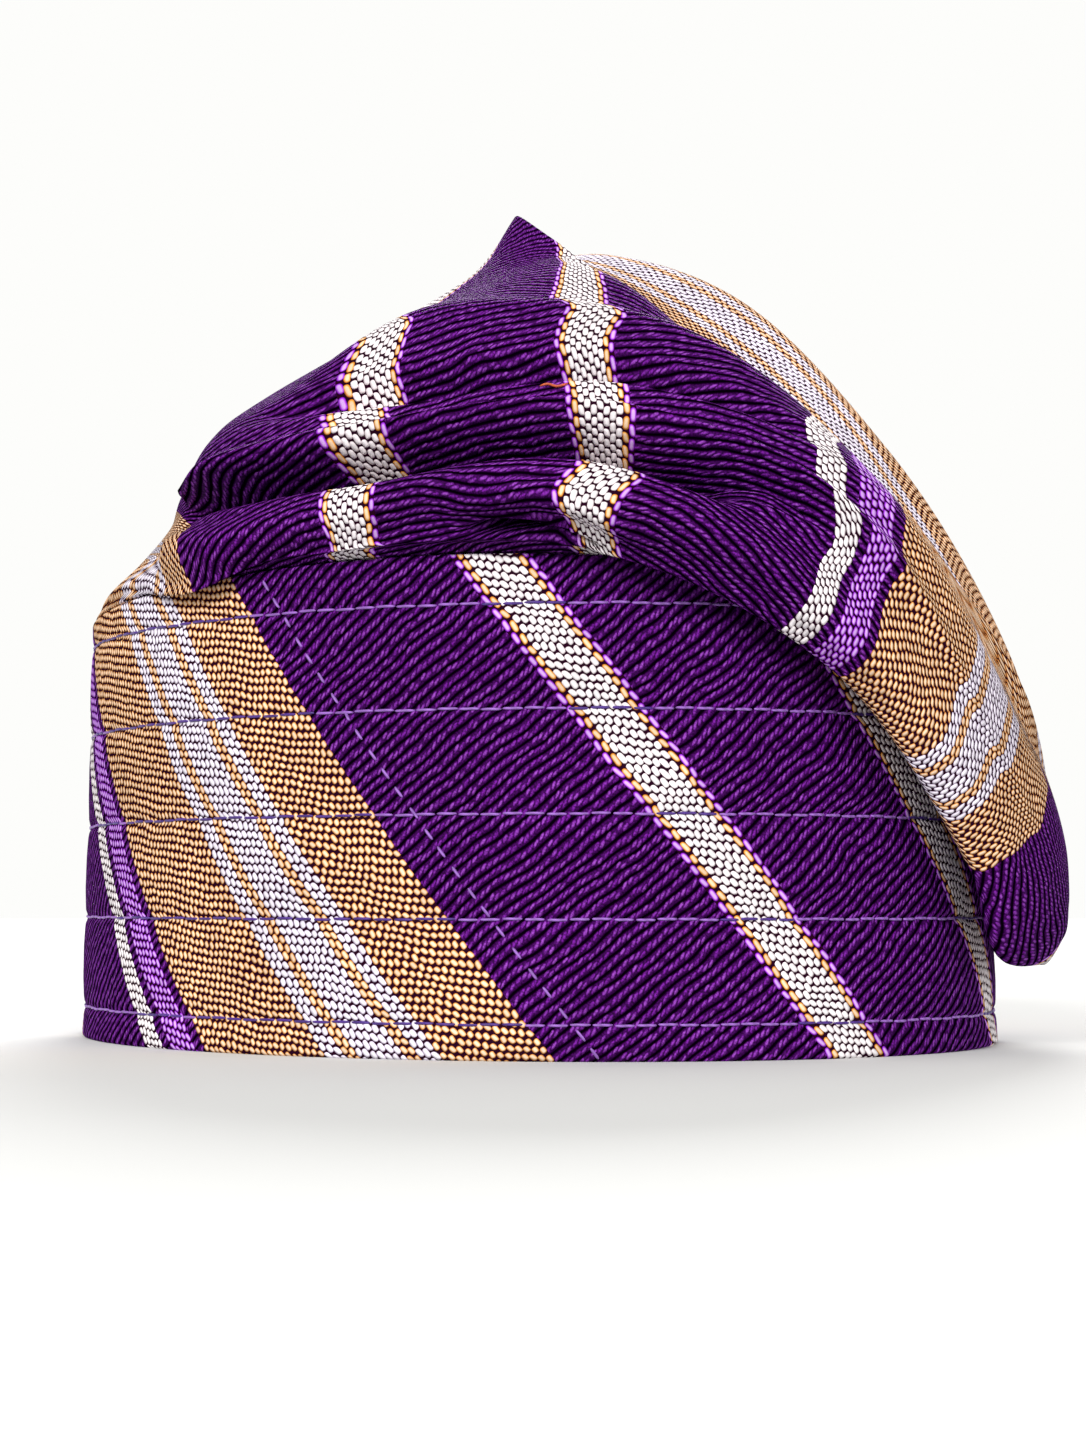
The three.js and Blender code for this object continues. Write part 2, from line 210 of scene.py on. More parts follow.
# Stage, in metres. Each sun's strength, width in degrees, azimuth from the front and elevation
STAGE_RADIUS, STAGE_SIDES, DOME_RINGS = 4.0, 64, 24
SUNS = {
    "behind": (4.2, 26, 176, 28),
    "overhead": (0.3, 60, 160, 76),
    "front_left": (2.3, 24, -30, 30),
    "front_right": (1.45, 40, 22, 12),
}


def in_row(points):
    """Own millimetres to the row frame's metres."""
    return np.asarray(points, float) * MM + OWN_ORIGIN


def linear(hex_colour):
    """An sRGB hex colour as Blender's linear red, green, blue and alpha."""
    parts = [int(hex_colour[i:i + 2], 16) / 255 for i in (1, 3, 5)]
    return tuple(c / 12.92 if c <= 0.04045 else ((c + 0.055) / 1.055) ** 2.4 for c in parts) + (1.0,)


def unit(vectors, least=1e-9):
    return vectors / np.maximum(np.linalg.norm(vectors, axis=-1, keepdims=True), least)


def eased(low, high, x):
    """0 below low, 1 above high, smooth between."""
    k = np.clip((x - low) / (high - low), 0, 1)
    return k * k * (3 - 2 * k)


def spline(p0, p1, p2, p3, f):
    """Catmull-Rom between p1 and p2."""
    a = -0.5 * p0 + 1.5 * p1 - 1.5 * p2 + 0.5 * p3
    b = p0 - 2.5 * p1 + 2 * p2 - 0.5 * p3
    c = -0.5 * p0 + 0.5 * p2
    return ((a * f + b) * f + c) * f + p1


def through(x, knots, values):
    """A smooth curve through unevenly spaced knots. values may hold one array for each knot."""
    knots, values = np.asarray(knots, float), np.asarray(values, float)
    x = np.clip(x, knots[0], knots[-1])
    i = np.clip(np.searchsorted(knots, x, side="right") - 1, 0, len(knots) - 2)
    more = (1,) * (values.ndim - 1)
    step = np.diff(knots).reshape(-1, *more)
    slope = np.diff(values, axis=0) / step
    inner = (slope[:-1] * step[1:] + slope[1:] * step[:-1]) / (step[1:] + step[:-1])
    tangent = np.concatenate([slope[:1], inner, slope[-1:]])
    f = ((x - knots[i]) / np.diff(knots)[i]).reshape(np.shape(x) + more)
    h = step[i]
    return ((1 + 2 * f) * (1 - f) ** 2 * values[i] + f * (1 - f) ** 2 * h * tangent[i]
            + f * f * (3 - 2 * f) * values[i + 1] + f * f * (f - 1) * h * tangent[i + 1])


def rightness(angle):
    """1 at the right end and 0 at the left end."""
    return (1 + np.cos(angle)) / 2


def band_top(angle):
    right = rightness(angle)
    return BAND_HEIGHT - BAND_LEFT_DIP * (1 - right) ** LEFT_DIP_POWER - BAND_RIGHT_DIP * right ** RIGHT_DIP_POWER


def band_radius(angle, z):
    rise = z / band_top(angle)
    lean = BAND_RIGHT_LEAN * rightness(angle) ** LEAN_POWER
    return RIM_RADIUS + (TOP_RADIUS - RIM_RADIUS) * rise - lean * rise ** 2


def oval(radius, angle, z):
    x = radius * np.cos(angle)
    return np.stack([x, radius * np.sin(angle) - OVAL_SHEAR * x, z + 0 * x], -1)


def section_point(row, angle):
    left, right, front, back, full = row[:5]
    z60, z360 = row[5], row[15]
    heights = np.array([z360, (z360 + z60) / 2, *row[5:15]])
    place = (angle / math.tau % 1) * 12
    k = np.floor(place).astype(int)
    z = spline(*[heights[(k + i) % 12] for i in (-1, 0, 1, 2)], place - k)
    c, s = np.cos(angle), np.sin(angle)
    x = (left + right) / 2 + (right - left) / 2 * c
    y = np.where(s < 0, front * np.abs(np.minimum(s, 0)) ** (1 - full * np.abs(c)), back * s)
    return np.stack([x, y - OVAL_SHEAR * x, z], -1)


def foot_point(angle, inset=0.0):
    top = band_top(angle)
    return oval(band_radius(angle, top) - FOOT_INSET - inset, angle, top + CLEARANCE)


def crown_base(t, angle):
    """The crown's smooth form at section numbers t and angles in radians."""
    t, angle = np.broadcast_arrays(np.asarray(t, float), np.asarray(angle, float))
    every = np.stack([foot_point(angle)] + [section_point(row, angle) for row in SECTIONS.values()])
    i = np.clip(np.floor(t).astype(int), 0, LAST - 1)
    four = [np.take_along_axis(every, np.clip(i + k, 0, LAST)[None, ..., None].repeat(3, -1), 0)[0]
            for k in (-1, 0, 1, 2)]
    return spline(*four, (t - i)[..., None])


def step_up(t, angle):
    return crown_base(np.minimum(t + NORMAL_STEP, LAST), angle) - crown_base(np.maximum(t - NORMAL_STEP, 0), angle)


def outwards(t, angle):
    """The way out of the crown's smooth form."""
    up = step_up(t, angle)
    around = crown_base(t, angle + NORMAL_STEP) - crown_base(t, angle - NORMAL_STEP)
    return unit(np.cross(around, up))


def between(start, end, ease_in, ease_out, degrees):
    """1 between two angles, with soft ends."""
    return (eased(start - ease_in / 2, start + ease_in / 2, degrees)
            * (1 - eased(end - ease_out / 2, end + ease_out / 2, degrees)))


def roll_height(t, angle, in_hollow=False):
    degrees = np.degrees(angle) % 360
    total = np.zeros(np.broadcast(t, angle).shape)
    for at, start, end, height, width, ease_in, ease_out in ROLLS.values():
        if in_hollow:
            goes_in = height < 0
            height *= HOLLOW_DEPTH if goes_in else HOLLOW_ROLL
            width = width + HOLLOW_SPREAD if goes_in else width * HOLLOW_ROLL
        across = np.minimum(np.abs(t - at) / width, 1)
        total += height * np.cos(across * np.pi / 2) ** 2 * between(start, end, ease_in, ease_out, degrees)
    return total


def crease_height(t, angle, section_length):
    degrees = np.degrees(angle) % 360
    total = np.zeros(np.broadcast(t, angle).shape)
    for height, width, ease_in, ease_out, places in CREASES.values():
        angles, numbers = zip(*places)
        away = np.abs(t - through(degrees, angles, numbers)) * section_length
        across = np.minimum(away / width, 1)
        ends = between(angles[0] + ease_in / 2, angles[-1] - ease_out / 2, ease_in, ease_out, degrees)
        total += height * np.cos(across * np.pi / 2) ** 2 * ends
    return total


def crown_skin(t, angle):
    """The crown's outer face, folds and creases included."""
    length = np.linalg.norm(step_up(t, angle), axis=-1) / (2 * NORMAL_STEP)
    height = roll_height(t, angle) + crease_height(t, angle, length)
    skin = crown_base(t, angle) + outwards(t, angle) * height[..., None]
    for at, middle, reach, spread, move in BULGES.values():
        near = np.minimum(np.abs(t - at) / reach, 1), np.minimum(np.abs(np.degrees(angle) % 360 - middle) / spread, 1)
        share = (np.cos(near[0] * np.pi / 2) * np.cos(near[1] * np.pi / 2)) ** 2
        skin = skin + share[..., None] * np.array(move)
    return skin


def hollow_side(t, from_right, side):
    margin = np.radians(SEAM_MARGIN) * eased(SEAM_MARGIN_START, LAST, t)
    angle = (math.tau + side * (margin + from_right * (1 - 2 * margin / np.pi))) % math.tau
    depth = roll_height(t, angle, in_hollow=True) - CLOTH_WALL
    point = crown_base(t, angle) + outwards(t, angle) * depth[..., None]
    return np.where((t <= 0)[..., None], foot_point(angle, CLOTH_WALL), point)


def hollow_skin(t, angle):
    """The crown's inner face, before its pocket is closed."""
    from_right = np.arccos(np.clip(np.cos(angle), -1, 1))
    back, front = hollow_side(t, from_right, 1), hollow_side(t, from_right, -1)
    on_end = (np.minimum(from_right, np.pi - from_right) < NORMAL_STEP) | (t >= LAST)
    one_side = np.where((np.sin(angle) > 0)[..., None], back, front)
    return np.where(on_end[..., None], (back + front) / 2, one_side)


def hollow_rings(numbers, angles):
    """Below the flop's lip the hollow goes down into a pocket. Elsewhere it runs straight up from the foot."""
    t, a = np.meshgrid(numbers, angles, indexing="ij")
    rings = hollow_skin(t, a)
    k = np.minimum(t / POCKET_TOP, 1)[..., None]
    foot, top = hollow_skin(0 * angles, angles), hollow_skin(0 * angles + POCKET_TOP, angles)
    straight = foot + (top - foot) * k
    hang = (foot_point(angles) - section_point(SECTIONS["lip"], angles))[:, 2]
    pocket = eased(POCKET_SHALLOW, POCKET_DEEP, hang)[None, :, None]
    rings = np.where((t >= POCKET_TOP)[..., None], rings, straight + (rings - straight) * pocket)
    free = (numbers > 1) & (numbers < LAST)
    for _ in range(HOLLOW_EASING):
        middle = rings.copy()
        middle[1:-1] = (rings[:-2] + rings[2:]) / 2
        rings[free] = (rings[free] + middle[free]) / 2
    return rings


def way_round(angle):
    """Millimetres round the band's rim from the front, rising to the right, for angles from the join on."""
    fine = np.radians(np.linspace(0, 720, 2881))
    rim = oval(RIM_RADIUS, fine, 0.0)
    along = np.concatenate([[0], np.cumsum(np.linalg.norm(np.diff(rim, axis=0), axis=1))])
    return np.interp(angle, fine, along) - np.interp(np.radians(270), fine, along)


def band_weave(angle, z):
    """Places across and along the cloth on the band, for angles from the join to the join again."""
    s = way_round(angle)
    return np.stack([ACROSS_ROUND * s + ACROSS_UP * z + ACROSS_START, ACROSS_ROUND * z - ACROSS_UP * s], -1)


def crown_across(numbers, angles):
    """Places across the cloth on the crown, a grid of sections by angles."""
    degrees = np.degrees(angles)
    rows = []
    for places in WEAVE.values():
        at, across = zip(*places)
        rows.append(through(degrees, at, across))
    return through(numbers, list(WEAVE), rows)


def crown_along(points, across):
    """Places along the cloth, by least squares: 1 mm a mm along the stripes, as level as can be across them."""

    def steps(field):
        up = field[1:, 1:] + field[1:, :-1] - field[:-1, 1:] - field[:-1, :-1]
        around = field[1:, 1:] + field[:-1, 1:] - field[1:, :-1] - field[:-1, :-1]
        return up / 2, around / 2

    def spread(flow_up, flow_around):
        out = np.zeros_like(across)
        out[1:, 1:] += flow_up + flow_around
        out[1:, :-1] += flow_up - flow_around
        out[:-1, 1:] += flow_around - flow_up
        out[:-1, :-1] -= flow_up + flow_around
        return out / 2

    up, around = steps(points)
    e, f, g = (up * up).sum(-1), (up * around).sum(-1), (around * around).sum(-1)
    area = np.sqrt(np.maximum(e * g - f * f, 1e-6))

    def slope(rise_up, rise_around):
        return (((g * rise_up - f * rise_around) / area ** 2)[..., None] * up
                + ((e * rise_around - f * rise_up) / area ** 2)[..., None] * around)

    sideways = unit(slope(*steps(across)))
    stripe = unit(np.cross(np.cross(around, up), sideways))
    both = [slope(1, 0), slope(0, 1)]
    along_up, along_around = [(way * stripe).sum(-1) for way in both]
    side_up, side_around = [(way * sideways).sum(-1) for way in both]
    upper = area * (along_up ** 2 + LEVEL_WEIGHT * side_up ** 2)
    mixed = area * (along_up * along_around + LEVEL_WEIGHT * side_up * side_around)
    outer = area * (along_around ** 2 + LEVEL_WEIGHT * side_around ** 2)
    smoothing = LEVEL_SMOOTHING * np.median(upper + outer)

    def matrix(field):
        rise_up, rise_around = steps(field)
        out = spread(upper * rise_up + mixed * rise_around, mixed * rise_up + outer * rise_around)
        for axis in (0, 1):
            change = smoothing * np.diff(field, axis=axis)
            out += np.diff(-change, axis=axis, prepend=0, append=0)
        return out

    diagonal = np.full_like(across, 4 * smoothing)
    for rows in (slice(1, None), slice(None, -1)):
        for columns in (slice(1, None), slice(None, -1)):
            diagonal[rows, columns] += (upper + outer) / 4
    field = np.zeros_like(across)
    rest = spread(area * along_up, area * along_around)
    way = rest / diagonal
    size = (rest * way).sum()
    for _ in range(LEVEL_STEPS):
        pushed = matrix(way)
        step = size / (way * pushed).sum()
        field += step * way
        rest -= step * pushed
        scaled = rest / diagonal
        new_size = (rest * scaled).sum()
        way = scaled + (new_size / size) * way
        size = new_size
    return field


def add_object(name, data):
    piece = bpy.data.objects.new(name, data)
    bpy.context.scene.collection.objects.link(piece)
    return piece


def woven_solid(name, rings, weave, closed, seam_rings=()):
    """A closed cloth from rings of points. weave has one more column than rings: the cloth's two ends meet there.
    closed joins the last ring to the first. On a seam ring the front and back share their points."""
    count, around = rings.shape[:2]
    index = np.arange(count * around).reshape(count, around)
    used = np.ones(count * around, bool)
    for k in seam_rings:
        partner = (2 * (360 - JOIN_ANGLE) * around // 360 - around - np.arange(around)) % around
        keep = np.minimum(np.arange(around), partner)
        used[index[k][keep != np.arange(around)]] = False
        index[k] = index[k][keep]
    new_number = np.cumsum(used) - 1
    index = new_number[index]
    rows = np.arange(count if closed else count - 1)
    following = (rows + 1) % count
    right = (np.arange(around) + 1) % around
    quads = np.stack([index[rows], index[rows][:, right], index[following][:, right], index[following]], -1)
    corner = np.stack([weave[rows, :-1], weave[rows, 1:], weave[following, 1:], weave[following, :-1]], 2)
    mesh = bpy.data.meshes.new(name)
    mesh.from_pydata(in_row(rings.reshape(-1, 3)[used]), [], quads.reshape(-1, 4))
    mesh.uv_layers.new(name="weave")
    mesh.uv_layers["weave"].uv.foreach_set("vector", corner.reshape(-1).astype(np.float32))
    mesh.shade_smooth()
    mesh.validate()
    return add_object(name, mesh)


def ring_numbers(rings):
    return np.array([0.0] + [i + (k + 1) / n for i, n in enumerate(rings) for k in range(n)])


def add_node(tree, made, name, kind, sources=(), **settings):
    """Adds a node and keeps it as made[name]. kind may end with an operation. A source is a value, or the name
    of an earlier node, with .number or .name of its output where that isn't the first. sources may be a list or
    a dict by socket."""
    kind, _, operation = kind.partition(" ")
    node = made[name] = tree.nodes.new("ShaderNode" + kind)
    node.name = name
    if operation:
        node.operation = operation
    for setting, value in settings.items():
        setattr(node, setting, value)
    pairs = sources.items() if isinstance(sources, dict) else enumerate(sources)
    for socket, source in pairs:
        if isinstance(source, str):
            earlier, _, output = source.partition(".")
            outputs = made[earlier].outputs
            tree.links.new(outputs[int(output) if output.isdigit() else output or 0], node.inputs[socket])
        elif source is not None:
            node.inputs[socket].default_value = source
    return node


def new_material(name):
    """A material without nodes, and the function that adds them."""
    material = bpy.data.materials.new(name)
    material.use_nodes = True
    material.node_tree.nodes.clear()
    made = {}

    def add(*words, **settings):
        return add_node(material.node_tree, made, *words, **settings)

    return material, add


def fill_ramp(node, stops):
    """Constant steps of (start, colour) on a colour ramp, with starts from 0 to 1."""
    ramp = node.color_ramp
    ramp.interpolation = "CONSTANT"
    while len(ramp.elements) > 1:
        ramp.elements.remove(ramp.elements[-1])
    for k, (start, colour) in enumerate(stops):
        element = ramp.elements[0] if k == 0 else ramp.elements.new(start)
        element.position = start
        element.color = colour


def size(name, use, default, **more):
    return bpy.props.FloatProperty(name=name, description=use, default=default, **more)


def colour(name, use, default):
    return bpy.props.StringProperty(name=name, description=use, default=default)


class ClothSizes(bpy.types.PropertyGroup):
    """How the aso-oke is woven"""

    warp_pitch: size("Warp pitch", "Width of one warp thread's column, mm", 1.05)
    weft_pitch: size("Weft pitch", "Spacing of the ribs across the purple, mm", 1.75)
    float_length: size("Float length", "Length of one warp float in the stripes, mm", 2.05)
    edge_float_length: size("Edge float length", "Length of one float in the gold and violet edges, mm", 2.7)
    relief: size("Relief", "Height of the threads over the gaps between them", 0.0005, unit="LENGTH")


class ClothColours(bpy.types.PropertyGroup):
    """Yarn colours of the aso-oke, and the colours of its painted shade and painted highlights, as sRGB hex"""

    purple: colour("Purple", "Ground yarn", "#6A168A")
    groove: colour("Groove", "Shade between the ribs", "#08000C")
    # painted highlight on the ribs' strands, lightest where each strand stands highest
    strand: colour("Strand", "Worn, lighter strands of the ribs", "#984AB8")
    # a pale warp thread in a groove, shown as a painted glint highlight
    glint: colour("Glint", "Warp that shows between ribs", "#D8B4F0")
    violet: colour("Violet", "Violet yarn", "#B850E0")
    white: colour("White", "White yarn", "#FFF6F8")
    lilac: colour("Lilac", "Lilac-white yarn", "#F4EAF8")
    gold: colour("Gold", "Gold yarn", "#F0B45E")
    tan: colour("Tan", "Tan yarn", "#F0BA7C")
    gap: colour("Gap", "Shade between the floats", "#24061A")
    thread: colour("Thread", "Sewing thread where it lies on pale stripes", "#3F1478")
    light_thread: colour("Light thread", "Sewing thread where it lies on the purple", "#8E5CB4")
    slub: colour("Slub", "Stray orange yarn", "#C2501C")


class StitchSizes(bpy.types.PropertyGroup):
    """How the band is quilted"""

    pitch: size("Pitch", "Length of one stitch, mm", 3.9)
    seam_pitch: size("Seam pitch", "From one stitch to the next along the seam between two strips, mm", 3.4)
    thickness: size("Thickness", "Diameter of the thread, mm", 0.54)
    sink: size("Sink", "Depth to which a row of stitches draws the cloth in, mm", 0.45)
    puff: size("Puff", "How far the cloth stands out between rows, mm", 0.35)


class StageSettings(bpy.types.PropertyGroup):
    """Floor and light"""

    floor: colour("Floor", "Floor colour", "#D6D6D4")
    backdrop: colour("Backdrop", "Backdrop colour", "#FDFDFB")
    sky: size("Sky", "Light from all round", 0.58)


EDGED_WHITE = (
    (1, "violet", "edge"), (1, "gold", "edge"), (7, "white", "float"), (1, "gold", "edge"), (1, "violet", "edge"))
# The stripe sequence in warp threads, from the tan's right edge to the next one: threads, yarn, kind of weave
STRIPES = (
    (37, "purple", "rib"),
    *EDGED_WHITE,
    (31, "purple", "rib"),
    *EDGED_WHITE,
    (33, "purple", "rib"),
    (5, "white", "float"),
    (2, "purple", "rib"),
    (6, "violet", "float"),
    (2, "purple", "rib"),
    (22, "tan", "open"), (3, "lilac", "float"), (2, "tan", "float"), (7, "lilac", "float"), (2, "tan", "float"),
    (3, "lilac", "float"), (15, "tan", "open"),
)
THREADS = sum(stripe[0] for stripe in STRIPES)
# Across the cloth, where the seam between two strips lies
SEAM_ACROSS = 6.2
WEAVE_MASKS = {"rib": (0, 0, 0, 1), "float": (1, 0, 0, 1), "edge": (1, 1, 0, 1), "open": (1, 0, 1, 1)}


def stripe_at(across, period):
    """The yarn at a place across the cloth."""
    thread = across / period % 1 * THREADS
    for threads, yarn, _ in STRIPES:
        if thread < threads:
            return yarn
        thread -= threads
    return STRIPES[-1][1]


def aso_oke(name, sizes, colours):
    """Aso-oke: handwoven cotton and rayon. Coloured warp floats cover the stripes as staggered beads, with painted
    highlights along their middles and painted shade at their edges and in the gaps between them. The purple ground
    shows weft ribs with painted shade in the grooves, painted highlights on their strands and small pale warp threads
    painted as glints."""
    material, add = new_material(name)
    smooth, flat, rgba = {"interpolation_type": "SMOOTHSTEP"}, {"noise_dimensions": "2D"}, {"data_type": "RGBA"}
    add("weave", "UVMap", uv_map="weave")
    add("place", "SeparateXYZ", ["weave"])
    # the hand of the weaver: threads wander a little
    add("wander", "TexNoise", {"Vector": "weave", "Scale": 1 / 14, "Detail": 2.0}, **flat)
    add("wander_parts", "SeparateColor", ["wander.Color"])
    add("drift_v", "Math SUBTRACT", ["wander_parts.0", 0.5])
    add("along", "Math MULTIPLY_ADD", ["drift_v", 2.4, "place.1"])
    add("drift_u", "Math SUBTRACT", ["wander_parts.1", 0.5])
    add("across", "Math MULTIPLY_ADD", ["drift_u", 0.9, "place.0"])
    add("column_place", "Math DIVIDE", ["across", sizes.warp_pitch])
    add("column", "Math FLOOR", ["column_place"])
    add("in_column", "Math FRACT", ["column_place"])
    # which stripe the column belongs to
    add("column_middle", "Math ADD", ["column", 0.5])
    add("repeat", "Math DIVIDE", ["column_middle", THREADS])
    add("in_repeat", "Math FRACT", ["repeat"])
    yarns = add("yarn", "ValToRGB", ["in_repeat"])
    kinds = add("kind", "ValToRGB", ["in_repeat"])
    start, yarn_stops, kind_stops = 0, [], []
    for threads, colour, kind in STRIPES:
        yarn_stops.append((start / THREADS, linear(getattr(colours, colour))))
        kind_stops.append((start / THREADS, WEAVE_MASKS[kind]))
        start += threads
    fill_ramp(yarns, yarn_stops)
    fill_ramp(kinds, kind_stops)
    add("is_kind", "SeparateColor", ["kind"])
    # floats: ovals staggered from column to column
    add("longer", "Math MULTIPLY_ADD", ["is_kind.1", sizes.edge_float_length - sizes.float_length, sizes.float_length])
    add("float_place", "Math DIVIDE", ["along", "longer"])
    add("odd_column", "Math FLOORED_MODULO", ["column", 2.0])
    add("column_shift", "TexWhiteNoise", {"W": "column"}, noise_dimensions="1D")
    add("stagger", "Math MULTIPLY_ADD", ["odd_column", 0.5, "float_place"])
    add("float_number_place", "Math MULTIPLY_ADD", ["column_shift.0", 0.16, "stagger"])
    add("float_number", "Math FLOOR", ["float_number_place"])
    add("in_float", "Math FRACT", ["float_number_place"])
    add("float_cell", "CombineXYZ", ["column", "float_number"])
    add("float_random", "TexWhiteNoise", {"Vector": "float_cell"}, **flat)
    add("float_chances", "SeparateColor", ["float_random.Color"])
    add("float_y", "Math MULTIPLY_ADD", ["in_float", 2.0, -1.0])
    add("float_x_straight", "Math MULTIPLY_ADD", ["in_column", 2.0, -1.0])
    add("float_lean", "MapRange", ["float_chances.0", 0.0, 1.0, -0.2, 0.55])
    add("float_x", "Math MULTIPLY_ADD", ["float_y", "float_lean", "float_x_straight"])
    # an open weave, as in the tan, has shorter floats and wider gaps
    add("float_full", "MapRange", ["float_chances.1", 0.0, 1.0, 1.3, 1.04])
    add("float_squeeze", "Math MULTIPLY_ADD", ["is_kind.2", 0.22, "float_full"])
    add("float_reach_y", "Math MULTIPLY", ["float_y", "float_squeeze"])
    for square, root in (("float_xx", "float_x"), ("float_yy", "float_reach_y"), ("float_yyyy", "float_yy")):
        add(square, "Math MULTIPLY", [root, root])
    add("float_reach", "Math MULTIPLY_ADD", ["float_xx", 0.88, "float_yyyy"])
    add("float_left", "Math SUBTRACT", [1.0, "float_reach"])
    add("float_over", "Math MAXIMUM", ["float_left", 0.0])
    add("float_height", "Math SQRT", ["float_over"])
    # ribs: rope-like weft threads of short leaning strands, a groove between them, painted black as shade further on
    add("rib_place", "Math DIVIDE", ["along", sizes.weft_pitch])
    add("rib", "Math FLOOR", ["rib_place"])
    add("in_rib", "Math FRACT", ["rib_place"])
    add("rib_y", "Math MULTIPLY_ADD", ["in_rib", 2.0, -1.0])
    add("rib_yy", "Math MULTIPLY", ["rib_y", "rib_y"])
    add("rib_round", "Math MULTIPLY_ADD", ["rib_yy", -1.25, 1.0])
    add("odd_rib", "Math FLOORED_MODULO", ["rib", 2.0])
    add("strand_row", "Math MULTIPLY", ["column_place", 0.8])
    add("strand_lean", "Math MULTIPLY_ADD", ["rib_y", -0.75, "strand_row"])
    add("strand_place", "Math MULTIPLY_ADD", ["odd_rib", 0.5, "strand_lean"])
    add("strand_number", "Math FLOOR", ["strand_place"])
    add("in_strand", "Math FRACT", ["strand_place"])
    add("strand_cell", "CombineXYZ", ["strand_number", "rib"])
    add("strand_random", "TexWhiteNoise", {"Vector": "strand_cell"}, **flat)
    add("strand_chances", "SeparateColor", ["strand_random.Color"])
    add("strand_x", "Math MULTIPLY_ADD", ["in_strand", 2.0, -1.0])
    add("strand_xx", "Math MULTIPLY", ["strand_x", "strand_x"])
    add("strand_off", "MapRange", ["strand_chances.0", 0.0, 1.0, -0.45, 0.45])
    add("strand_y", "Math SUBTRACT", ["rib_y", "strand_off"])
    add("strand_yy", "Math MULTIPLY", ["strand_y", "strand_y"])
    add("strand_reach", "Math MULTIPLY_ADD", ["strand_yy", 3.0, "strand_xx"])
    add("strand_round", "Math SUBTRACT", [1.0, "strand_reach"])
    add("strand_part", "Math MAXIMUM", ["strand_round", 0.0])
    add("rib_height", "Math MULTIPLY_ADD", ["strand_part", 0.55, "rib_round"])
    # colour of the ribs: painted shade, black in the grooves and darker between the strands, over the purple weft,
    # then painted highlights on the strands, stronger on some than on others
    add("fibres", "TexNoise", {"Vector": "weave", "Scale": 2.6, "Detail": 2.0}, **flat)
    add("fibre_light", "MapRange", ["fibres.0", 0.35, 0.65, 0.45, 1.35])
    add("rib_lit", "MapRange", ["rib_round", 0.1, 0.75, 0.0, 1.0], **smooth)
    add("strand_body", "MapRange", ["strand_part", 0.0, 0.4, 0.3, 1.0])
    add("rib_body", "Math MULTIPLY", ["rib_lit", "strand_body"])
    add("rib_strength", "Math MULTIPLY", ["rib_body", "fibre_light"])
    # painted shade: the weft goes to the groove colour, near black, towards the grooves and between the strands
    add("ribbed", "Mix", {0: "rib_strength", 6: linear(colours.groove), 7: "yarn"},
        **rgba, clamp_factor=False)
    # painted highlight: the strand colour on the top of each strand
    add("strand_lit", "MapRange", ["strand_part", 0.3, 0.9, 0.0, 1.0], **smooth)
    add("strand_some", "MapRange", ["strand_chances.1", 0.1, 1.0, 0.05, 0.95])
    add("strand_worn", "Math MULTIPLY", ["strand_lit", "strand_some"])
    add("strand_shine", "Math MULTIPLY", ["strand_worn", "fibre_light"], use_clamp=True)
    add("rib_worn", "Mix", {0: "strand_shine", 6: "ribbed.2", 7: linear(colours.strand)}, **rgba)
    # here and there a pale warp thread shows in a groove, painted as a bright glint highlight
    add("groove_place", "Math ADD", ["rib_place", 0.5])
    add("groove", "Math FLOOR", ["groove_place"])
    add("in_groove", "Math FRACT", ["groove_place"])
    add("glint_y", "Math MULTIPLY_ADD", ["in_groove", 2.0, -1.0])
    add("glint_place", "CombineXYZ", ["float_x_straight", "glint_y"])
    add("glint_away", "VectorMath LENGTH", ["glint_place"])
    add("glint_near", "MapRange", ["glint_away", 0.52, 0.2, 0.0, 1.0], **smooth)
    add("glint_cell", "CombineXYZ", ["column", "groove"])
    add("glint_random", "TexWhiteNoise", {"Vector": "glint_cell"}, **flat)
    add("glint_some", "MapRange", ["glint_random.0", 0.6, 1.0, 0.0, 0.9])
    add("glint", "Math MULTIPLY", ["glint_near", "glint_some"])
    add("rib_colour", "Mix", {0: "glint", 6: "rib_worn.2", 7: linear(colours.glint)}, **rgba)
    # colour of the floats: a painted highlight, cream along the middle; painted shade, deeper and warmer to the edge;
    # dark painted shade in the gaps
    add("deep_yarn", "Mix", {0: 1.0, 6: "yarn", 7: "yarn"}, **rgba, blend_type="MULTIPLY")
    add("pale_yarn", "Mix", {0: 0.34, 6: "yarn", 7: (1.0, 1.0, 1.0, 1.0)}, **rgba)
    add("float_core", "MapRange", ["float_height", 0.75, 0.98, 0.0, 1.0], **smooth)
    add("float_middle", "Mix", {0: "float_core", 6: "yarn", 7: "pale_yarn.2"}, **rgba)
    add("float_lit", "MapRange", ["float_height", 0.46, 0.9, 0.0, 1.0], **smooth)
    add("float_body", "Mix", {0: "float_lit", 6: "deep_yarn.2", 7: "float_middle.2"}, **rgba)
    add("float_edge", "MapRange", ["float_height", 0.18, 0.5, 0.0, 1.0], **smooth)
    add("float_tone", "MapRange", ["float_chances.2", 0.0, 1.0, 0.8, 1.08])
    add("float_toned", "VectorMath SCALE", {0: "float_body.2", 3: "float_tone"})
    # painted shade: the gap colour, near black, where the floats fall away
    add("float_colour", "Mix", {0: "float_edge", 6: linear(colours.gap), 7: "float_toned"}, **rgba)
    add("cloth_colour", "Mix", {0: "is_kind.0", 6: "rib_colour.2", 7: "float_colour.2"}, **rgba)
    # broad, faint differences from dyeing and handling
    add("dye", "TexNoise", {"Vector": "weave", "Scale": 1 / 38, "Detail": 3.0}, **flat)
    add("dye_tone", "MapRange", ["dye.0", 0.3, 0.7, 0.88, 1.1])
    add("dyed", "VectorMath SCALE", {0: "cloth_colour.2", 3: "dye_tone"})
